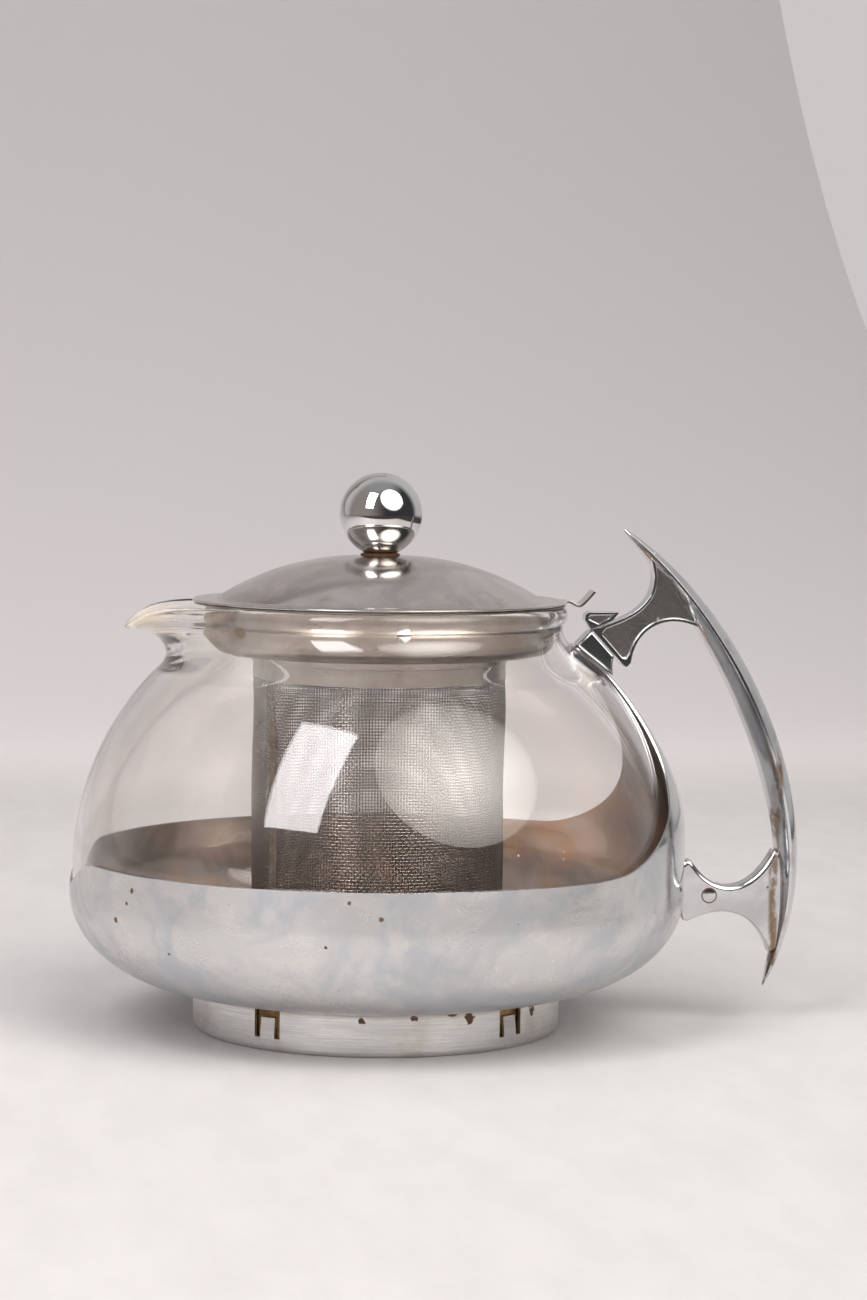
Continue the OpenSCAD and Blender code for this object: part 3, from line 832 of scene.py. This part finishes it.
def lower_arm():
    """The arm that meets the shell. Its upper edges are rounded more than its lower ones."""
    arm_x = SHELL_R + 0.17
    low_top = bez_path([(88.6, 44.2), (94, 36.5), (104, 35), (110.8, 48.5)], 24)
    low_low = bez_path([(86.6, 28.6), (96, 33.5), (105.5, 32.4), (110.2, 19.5)], 24)
    outline = low_top[::-1] + [(arm_x + 2.6, 45.6), (arm_x + 1.2, 45.6), (arm_x, 44.6), (arm_x, 30.2),
                               (arm_x + 0.5, 29.0)] + low_low + [(113.5, 22), (114.5, 46)]
    lower = raw("lower_arm", *slab(outline, ARM_T))
    weights = lower.data.attributes.new("bevel_weight_edge", "FLOAT", "EDGE")
    for e in lower.data.edges:
        p, q = (lower.data.vertices[i].co / MM for i in e.vertices)
        along_outline = abs(p.y - q.y) < 1e-3 and min(p.x, q.x) > arm_x - 0.1
        upper_edge = min(p.z, q.z) > 34
        weights.data[e.index].value = (1.0 if upper_edge else 0.32) if along_outline else 0.0
    bevel(lower, 1.35, 5, 40).limit_method = "WEIGHT"
    return apply_modifiers(lower)


def plate_ear():
    """The small hollowed ear over the end plate."""
    outline = [PLATE_A + 1.1 * ALONG, (56.6, 112.4), (56.7, 113.8), (57.8, 114.7), (66.2, 114.6),
               (64.5, 112.2), (61.5, 110.9)]
    ear = raw("ear", *slab(outline, EAR_T))
    hollow = [(57.7, 112.6), (57.7, 113.3), (58.2, 113.8), (64.6, 113.9), (63.2, 112.8), (60.5, 111.3)]
    carve(ear, hollow, 2 * EAR_DEPTH, EAR_T / 2)
    bevel(ear, 0.16, 2, 40)
    return apply_modifiers(ear)


def make_handle():
    band = raw("handle_casting", *band_mesh())
    bevel(band, 0.12, 2, 30)
    apply_modifiers(band)
    upper, lower, ear = upper_arm(), lower_arm(), plate_ear()
    for o in (band, upper, lower, ear):
        o.data.materials.append(M["casting"])
        o.data.materials.append(M["rough_web"])
    for o, y in ((upper, ARM_T / 2 - WEB_DEPTH), (ear, EAR_T / 2 - EAR_DEPTH)):
        for p in o.data.polygons:
            flat = abs(p.normal.y) > 0.95 and abs(abs(p.center.y) / MM - y) < 0.12
            p.material_index = 1 if flat else 0
    join([band, upper, lower, ear])
    tidy(band, 30)
    crisp(band)
    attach(band, "root")
    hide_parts("handle")


def join(objects):
    main = objects[0]
    bm = bmesh.new()
    for o in objects:
        bm.from_mesh(o.data)
    bm.to_mesh(main.data)
    bm.free()
    for o in objects[1:]:
        bpy.data.objects.remove(o)
    return main


make_handle()


def make_saddle():
    """The block between the tongue and the handle's end plate, seated on the tongue's face."""
    into = np.array([ALONG[1], -ALONG[0]])
    a, b = PLATE_A + 1.3 * ALONG, PLATE_A + 11.1 * ALONG
    run = [p for p in SHELL if p[1] > 90 and -0.2 < (p - a) @ ALONG < 13.6]
    run = sorted(run, key=lambda p: (p - a) @ ALONG, reverse=True)
    toe = ((-0.5, 0.0), (0.0, 0.3), (0.5, 1.0), (1.6, 2.4), (3.9, 3.95))
    toe = [b + q * ALONG + w * into for q, w in toe]
    outline = [a] + toe + [p + np.array([0.05, 0.03]) for p in run[1::2]]
    obj = raw("saddle_block", *slab(outline, 8.4))
    bevel(obj, 1.5, 5, 60)
    finish_piece(obj, M["casting"], "root", ["handle_saddle"])


make_saddle()


def make_pin():
    """The pin across the lower arm, with a dark ring round each end."""
    r, y, pin_x, pin_z = 2.2, ARM_T / 2, 92.6, 35.8
    half = [(0.0, y + 0.05), (r - 0.5, y + 0.05), (r - 0.35, y + 0.012), (r, y + 0.012), (r, y - 0.25)]
    profile = [(q, -h) for q, h in half] + half[::-1]
    n = 48
    verts = []
    for q, h in profile:
        for j in range(n):
            t = 2 * math.pi * j / n
            verts.append((pin_x + q * math.cos(t), h, pin_z + q * math.sin(t)))
    faces = grid_faces(len(profile), n)
    index = [1 if f[0] // n in (2, 6) else 0 for f in faces]
    looks = [M["casting"], M["rust"]]
    piece("flush_cross_pin", verts, faces, looks, "root", ["cross_pin"], index)


make_pin()


# -------- infuser
def make_collar():
    r, bend, sheet = COLLAR_R, 4.5, 0.5
    centre = (r - bend, COLLAR_Z + bend)
    corner = oval(centre, bend, bend, 0, -90, 10)
    inner = oval(centre, bend - sheet, bend - sheet, 0, -90, 10)
    wall = [(51.0, 116.55), (50.6, INFUSER_Z), (49.0, INFUSER_Z), (48.3, 116.3), (r, 115.7), (r, 112)]
    wall += corner + [(36.6, COLLAR_Z), (35.5, 101.9), (35.2, 101.2), (35.2, 99.8), (35.0, 99.7)]
    back = [(34.75, 99.8), (34.75, 101.6), (35.1, 102.4), (36.0, 102.7)] + inner[::-1]
    back += [(r - sheet, 112), (r - sheet, 116), (48, 116.8), (48.8, 117), (50.6, 117), (51, 116.9)]
    dent_az, dent_z, dent_size, dent_depth = CUP_DENT[0] % 360, CUP_DENT[2], 1.8, 0.45

    def warp(q, z, a):
        d = math.hypot((math.degrees(a) - dent_az) * math.pi / 180 * q, z - dent_z)
        if q > 44:
            q -= dent_depth * math.exp(-(d / dent_size) ** 2)
        return q, z

    dense = []
    loop = wall + back
    for i, p in enumerate(loop):
        q = np.array(loop[(i + 1) % len(loop)], float)
        p = np.array(p, float)
        steps = max(1, int(np.linalg.norm(q - p) / 1.2))
        dense += [p + (q - p) * k / steps for k in range(steps)]
    steel = M["steel_infuser"]
    lathe("infuser_cup", dense, steel, "infuser", ["infuser_collar"], 320, warp, 40)


make_collar()


def make_louver():
    """A small lanced flap in the cup's front wall."""
    verts = []
    half_w, height, low_z, n, m = 1.7, 4.9, 108.8, 6, 6
    az = math.radians(-88)
    for side in (0, 1):
        for i in range(n + 1):
            for j in range(m + 1):
                u, v = -1 + 2 * i / n, j / m
                lift = 0.75 * (1 - v) ** 1.2 * (1 - 0.35 * u * u) - 0.32 * side
                r = COLLAR_R + 0.02 + lift
                a = az + u * half_w / r
                verts.append((r * math.cos(a), r * math.sin(a), low_z + height * v))
    piece("cup_louver", verts, sheet_faces(n + 1, m + 1), M["steel_lid"], "infuser")


def make_band():
    """The plain band over the mesh's top, with a row of weld dimples, and the hoop at the bottom."""
    dimples = [-125, -108, -88, -72, -55, -38] + list(range(-20, 201, 20)) + [215]
    dimple_z, dimple_depth, dimple_r = 99.3, 0.28, 0.75

    def warp(q, z, a):
        for k, az in enumerate(dimples):
            gap = (math.degrees(a) - az + 180) % 360 - 180
            d = math.hypot(math.radians(gap) * q, z - dimple_z - 0.3 * math.sin(3 * k))
            q -= dimple_depth * math.exp(-(d / dimple_r) ** 2)
        return q, z

    heights = np.linspace(BAND_Z, 101.8, 14)
    profile = [(BASKET_R + 0.15, z) for z in heights] + [(BASKET_R - 0.3, z) for z in heights[::-1]]
    steel = M["steel_infuser"]
    lathe("welded_band", profile, steel, "infuser", ["infuser_band"], 420, warp, 50)
    heights = np.linspace(BASKET_Z + 0.2, 35.0, 6)
    hoop = [(BASKET_R + 0.02, z) for z in heights] + [(BASKET_R - 0.4, z) for z in heights[::-1]]
    hoop += [(BASKET_R - 0.2, BASKET_Z)]
    lathe("basket_hoop", hoop, steel, "infuser", ["infuser_hoop"], sharp=50)


make_band()


def weave_radius(a, z):
    """The basket isn't quite round: it has shallow dents."""
    swell = 0.35 * math.sin(2 * a + 0.6) + 0.18 * math.sin(5 * a + 0.09 * z)
    swell += 0.12 * math.sin(0.16 * z + 3 * a)
    calm = min(1.0, (z - 34) / 9, (97 - z) / 9)
    return BASKET_R - 0.35 + max(0.0, calm) * swell


def wires(name, paths, radius, mat, replaces=(), closed=False):
    """Four-sided wires along paths of points, each with its outward direction."""
    verts, faces = [], []
    for pts, outs in paths:
        pts, outs = np.array(pts, float), np.array(outs, float)
        n = len(pts)
        if closed:
            tangent = np.roll(pts, -1, 0) - np.roll(pts, 1, 0)
        else:
            tangent = np.gradient(pts, axis=0)
        tangent /= np.linalg.norm(tangent, axis=1)[:, None]
        side = np.cross(tangent, outs)
        side /= np.linalg.norm(side, axis=1)[:, None]
        up = np.cross(side, tangent)
        base = len(verts)
        for p, s, u in zip(pts, side, up):
            verts += [p + radius * u, p + radius * s, p - radius * u, p - radius * s]
        for i in range(n if closed else n - 1):
            for j in range(4):
                a, b = base + 4 * i, base + 4 * ((i + 1) % n)
                faces.append((a + j, a + (j + 1) % 4, b + (j + 1) % 4, b + j))
        if not closed:
            last = base + 4 * (n - 1)
            faces += [tuple(base + j for j in range(4)), tuple(last + j for j in (3, 2, 1, 0))]
    obj = mesh_object(name, verts, faces, mat)
    obj.data.polygons.foreach_set("use_smooth", [True] * len(faces))
    declare(obj, "infuser", replaces)


def make_mesh():
    """Plain weave: uprights and rounds that pass over and under each other, and a flat woven floor."""
    around, amp, r_wire = 252, 0.215, 0.155
    heights = np.arange(34.2, 98.4, 0.86)

    def crossing(i, k, sign):
        z = heights[k]
        a = 2 * math.pi * i / around + 0.010 * math.sin((z - 34) / 64 * math.pi)
        r = weave_radius(a, z) + sign * amp * (1 if (i + k) % 2 else -1)
        z += 0.0 if sign > 0 else 0.05 * math.sin(3 * a + z)
        return (r * math.cos(a), r * math.sin(a), z), (math.cos(a), math.sin(a), 0)

    levels = range(len(heights))
    uprights = [zip(*(crossing(i, k, 1) for k in levels)) for i in range(around)]
    rounds = [zip(*(crossing(i, k, -1) for i in range(around))) for k in levels]
    wires("mesh_uprights", uprights, r_wire, M["wire"], ["infuser_mesh"])
    wires("mesh_rounds", rounds, r_wire, M["wire"], closed=True)
    floor, floor_r, floor_lift, floor_amp = [], 34.15, 0.35, 0.16
    lines = np.arange(-34.0, 34.1, 1.0)
    for turn in (0, 1):
        for i, u in enumerate(lines):
            reach = math.sqrt(max(0.0, floor_r**2 - u * u))
            pts = []
            for k, v in enumerate(lines):
                if abs(v) <= reach:
                    z = BASKET_Z + floor_lift + floor_amp * (1 if (i + k) % 2 != turn else -1)
                    pts.append((u, v, z) if turn else (v, u, z))
            if len(pts) > 2:
                floor.append((pts, [(0, 0, 1)] * len(pts)))
    wires("mesh_floor", floor, 0.15, M["wire"], ["infuser_floor"])


make_mesh()


def make_seam():
    """The strip where the mesh overlaps itself, which leans aside near the top."""
    verts = []
    heights, spread = np.linspace(34.6, 96.6, 90), np.linspace(-2.8, 2.8, 13)
    for side in (0, 1):
        for z in heights:
            middle = -149.5 - 3.5 * smooth(80, 97, z)
            for j, a in enumerate(np.radians(middle + spread)):
                ripple = 0.05 * math.sin(z * 3.6) * math.cos(j * 1.5)
                r = weave_radius(a, z) + 0.42 - 0.3 * side + ripple
                verts.append((r * math.cos(a), r * math.sin(a), z))
    faces = sheet_faces(len(heights), len(spread))
    piece("mesh_seam", verts, faces, M["seam"], "infuser", ["infuser_seam"])


make_seam()


# -------- lid
def make_lid():
    rise, run = DOME_TOP - (LID_Z + LID_SHEET + 0.4), DOME_R - SEAT_R
    arc_r = (run * run + rise * rise) / (2 * rise)
    sweep = math.degrees(math.asin(run / arc_r))
    centre, inner_r = (SEAT_R, DOME_TOP - arc_r), arc_r - LID_SHEET
    over = oval(centre, arc_r, arc_r, 90, 90 - sweep, 40)
    under = oval(centre, inner_r, inner_r, 90, 90 - sweep, 40)
    top = LID_Z + LID_SHEET
    crease = [over[-1], (44.9, top + 0.15), (45.5, top - 0.02), (46.4, top), (49, top), (50.9, top)]
    crease = through(crease, 4)[1:]
    edge = [(51.25, top - 0.08), (51.45, top - 0.25), (LID_R, LID_Z + 0.35), (51.4, LID_Z + 0.1),
            (51.0, LID_Z)]
    profile = [(0.0, DOME_TOP), (2.5, DOME_TOP)] + over + crease + edge + [(46, LID_Z), (44.4, LID_Z)]
    profile += under[::-1] + [(2.5, DOME_TOP - LID_SHEET), (0.0, DOME_TOP - LID_SHEET)]
    lathe("lid_dome_sheet", profile, M["steel_lid"], "lid", ["lid_dome"], 320, None, 50, False)
    r, low, skirt_t = COLLAR_R - 0.5 - 0.6, LID_Z - 4.0, 0.6
    skirt = [(r, LID_Z), (r, low + 0.3), (r - 0.15, low), (r - 0.45, low), (r - skirt_t, low + 0.3),
             (r - skirt_t, LID_Z)]
    lathe("lid_locating_skirt", skirt, M["steel_infuser"], "lid", ["lid_skirt"])


make_lid()


def make_knob():
    """The ball, cut flat at the bottom, on a small seat with a worn edge."""
    cut = 10.6
    a0 = -math.degrees(math.acos(math.sqrt(1 - (cut / KNOB_R) ** 2)))
    ball = oval((0, KNOB_Z), KNOB_R, KNOB_R, a0, 90, 72)
    profile = [(0.0, KNOB_Z - cut), (ball[0][0] - 0.3, KNOB_Z - cut)] + ball
    profile[-1] = np.array([0.0, KNOB_Z + KNOB_R])
    lathe("knob_ball", profile, M["mirror"], "lid", ["lid_knob"], 160, sharp=50, closed=False)

    def worn(r, z, a):
        return r + 0.12 * math.sin(7 * a) * (r > 1), z

    seat = ((0.0, 0.0), (5.3, 0.0), (5.45, 0.25), (5.2, 0.55), (4.8, 0.7), (0.0, 0.7))
    seat = [(r, DOME_TOP + h) for r, h in seat]
    lathe("rusty_seat", seat, M["rust"], "lid", ["knob_seat"], 96, worn, closed=False)


make_knob()


def make_tab():
    line = through([(LID_R - 1.2, LID_Z + 0.35), (LID_R + 0.8, LID_Z + 0.3), (LID_R + 2.4, LID_Z - 0.55),
                    (LID_R + 3.8, LID_Z - 0.65), (LID_R + 5.2, LID_Z + 0.5), (LID_R + 7.7, LID_Z + 3.3)], 6)
    outline = list(shifted(line, 0.35)) + list(shifted(line, -0.35))[::-1]
    obj = raw("bent_tab", *slab(outline, 8.0))
    bevel(obj, 0.15, 2, 50)
    finish_piece(obj, M["steel_lid"], "lid", ["lid_tab"])


make_tab()
make_louver()

# -------- small CAD pieces that stay as they are
for node in ("saddle_screw", "shell_lug", "knob_washer", "knob_screw"):
    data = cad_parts[node].data
    data.materials.clear()
    data.materials.append(M["screw"])


# -------- floor, backdrop, light and camera
def paper():
    k = Look("pale_table", (0.85, 0.83, 0.82), 0.0, 0.6)
    y = k.axis(1)
    grain = k.noise(60, 5, 0.65, stretch=(1, 0.35, 1))
    table = k.mix(k.span(grain, 0.3, 0.7), (0.59, 0.578, 0.573), (0.553, 0.541, 0.538))
    k.colour(k.mix(k.span(y, 0.50, 0.78), table, (0.76, 0.728, 0.733)))
    k.bump(k.noise(30, 4), 0.15, 0.001)
    return k.mat


def make_floor():
    """A table with a front edge, which curves up into the backdrop behind."""
    xs = np.linspace(-2.6, 0.56, 27)
    line = [(-0.66, -0.03), (-0.66, -0.004), (-0.656, 0.0)] + [(y, 0.0) for y in np.linspace(-0.6, 0.9, 26)]
    line += [(0.9 + 1.6 * math.sin(t), 1.6 - 1.6 * math.cos(t)) for t in np.radians(np.linspace(3, 90, 30))]
    line += [(2.5, 3.2)]
    verts = [(x, y, z) for y, z in line for x in xs]
    faces = grid_faces(len(line), len(xs), False)
    obj = mesh_object("table_and_backdrop", verts, faces, paper(), scale=1)
    obj.data.polygons.foreach_set("use_smooth", [True] * len(faces))


make_floor()


def make_world():
    """A dim room that the metal reflects, and a pale even ground where the camera sees past the stage."""
    world = bpy.data.worlds.new("studio")
    bpy.context.scene.world = world
    world.use_nodes = True
    k = Nodes(world.node_tree, "Generated")
    x, y, z = (k.axis(i) for i in range(3))
    room = k.mix(k.span(x, -0.75, 0.25), (0.30, 0.27, 0.25), (0.045, 0.045, 0.05))
    room = k.mix(k.span(z, 0.70, 1.0), room, (0.33, 0.33, 0.34))
    room = k.mix(k.span(y, 0.05, 0.45), room, (0.55, 0.53, 0.53))
    room = k.mix(k.span(z, -0.02, -0.10), room, (0.07, 0.065, 0.06))
    path = k.add("LightPath")
    direct = k.most(path.outputs["Is Camera Ray"], path.outputs["Is Transmission Ray"])
    background, out = k.add("Background"), k.add("OutputWorld")
    k.link(k.mix(direct, room, (0.60, 0.57, 0.57)), background.inputs[0])
    k.link(background.outputs[0], out.inputs[0])


make_world()


def lamp(name, azimuth, height, distance, size, power, colour, disc=False, size_y=None, at=None, to=None,
         seen=True, spread=180):
    """An area light. It stands at the given angles and distance from its target, or at the point at."""
    data = bpy.data.lights.new(name, "AREA")
    data.shape = "DISK" if disc else "RECTANGLE"
    data.size = size
    if not disc:
        data.size_y = size_y or size
    data.energy, data.color, data.spread = power, colour, math.radians(spread)
    a, e = math.radians(azimuth), math.radians(height)
    to = Vector(to or (0, 0, 0.08))
    if at is None:
        at = Vector((math.sin(a) * math.cos(e), -math.cos(a) * math.cos(e), math.sin(e))) * distance + to
    at = Vector(at)
    obj = bpy.data.objects.new(name, data)
    obj.location = at
    obj.rotation_mode = "QUATERNION"
    obj.rotation_quaternion = (to - at).to_track_quat("-Z", "Y")
    obj.visible_glossy = seen
    bpy.context.scene.collection.objects.link(obj)


lamp("cool_window", -38.5, 40.5, 1.45, 0.54, 16.5, (1.0, 0.975, 1.0), size_y=1.12)
lamp("warm_round", 33, 42, 1.5, 1.65, 7.0, (1.0, 0.95, 0.90), disc=True, spread=70)
lamp("ceiling", 0, 89, 2.6, 2.4, 6.0, (1.0, 0.98, 0.97), size_y=2.4, seen=False)
lamp("backdrop_wash", 0, 0, 0, 2.4, 18.0, (1.0, 0.985, 0.985), size_y=0.6, at=(0, 0.85, 2.3),
     to=(0, 2.4, 1.5), seen=False)


def make_camera():
    """The camera's fitted angles. The last, turn, swings it about the pot's axis."""
    yaw, pitch, roll, turn = (math.radians(v) for v in (0.945, -4.04, 0.66, 5.3))
    fw = Vector((math.sin(yaw) * math.cos(pitch), math.cos(yaw) * math.cos(pitch), math.sin(pitch)))
    r = Vector((math.cos(yaw), -math.sin(yaw), 0))
    u = r.cross(fw)
    right = math.cos(roll) * r + math.sin(roll) * u
    up = -math.sin(roll) * r + math.cos(roll) * u
    m = Matrix((right, up, -fw)).transposed().to_4x4()
    m.translation = Vector((0, -0.900, 0.1675))
    data = bpy.data.cameras.new("camera")
    focal, frame_height, sensor = 3280, 1300, 36.0
    data.lens, data.sensor_width = focal * sensor / frame_height, sensor
    data.clip_start, data.clip_end = 0.01, 20.0
    cam = bpy.data.objects.new("camera", data)
    bpy.context.scene.collection.objects.link(cam)
    cam.matrix_world = Matrix.Rotation(-turn, 4, "Z") @ m
    bpy.context.scene.camera = cam


make_camera()
bpy.context.scene.view_settings.view_transform = "Standard"
cycles = bpy.context.scene.cycles
cycles.max_bounces, cycles.transmission_bounces, cycles.transparent_max_bounces = 28, 26, 16
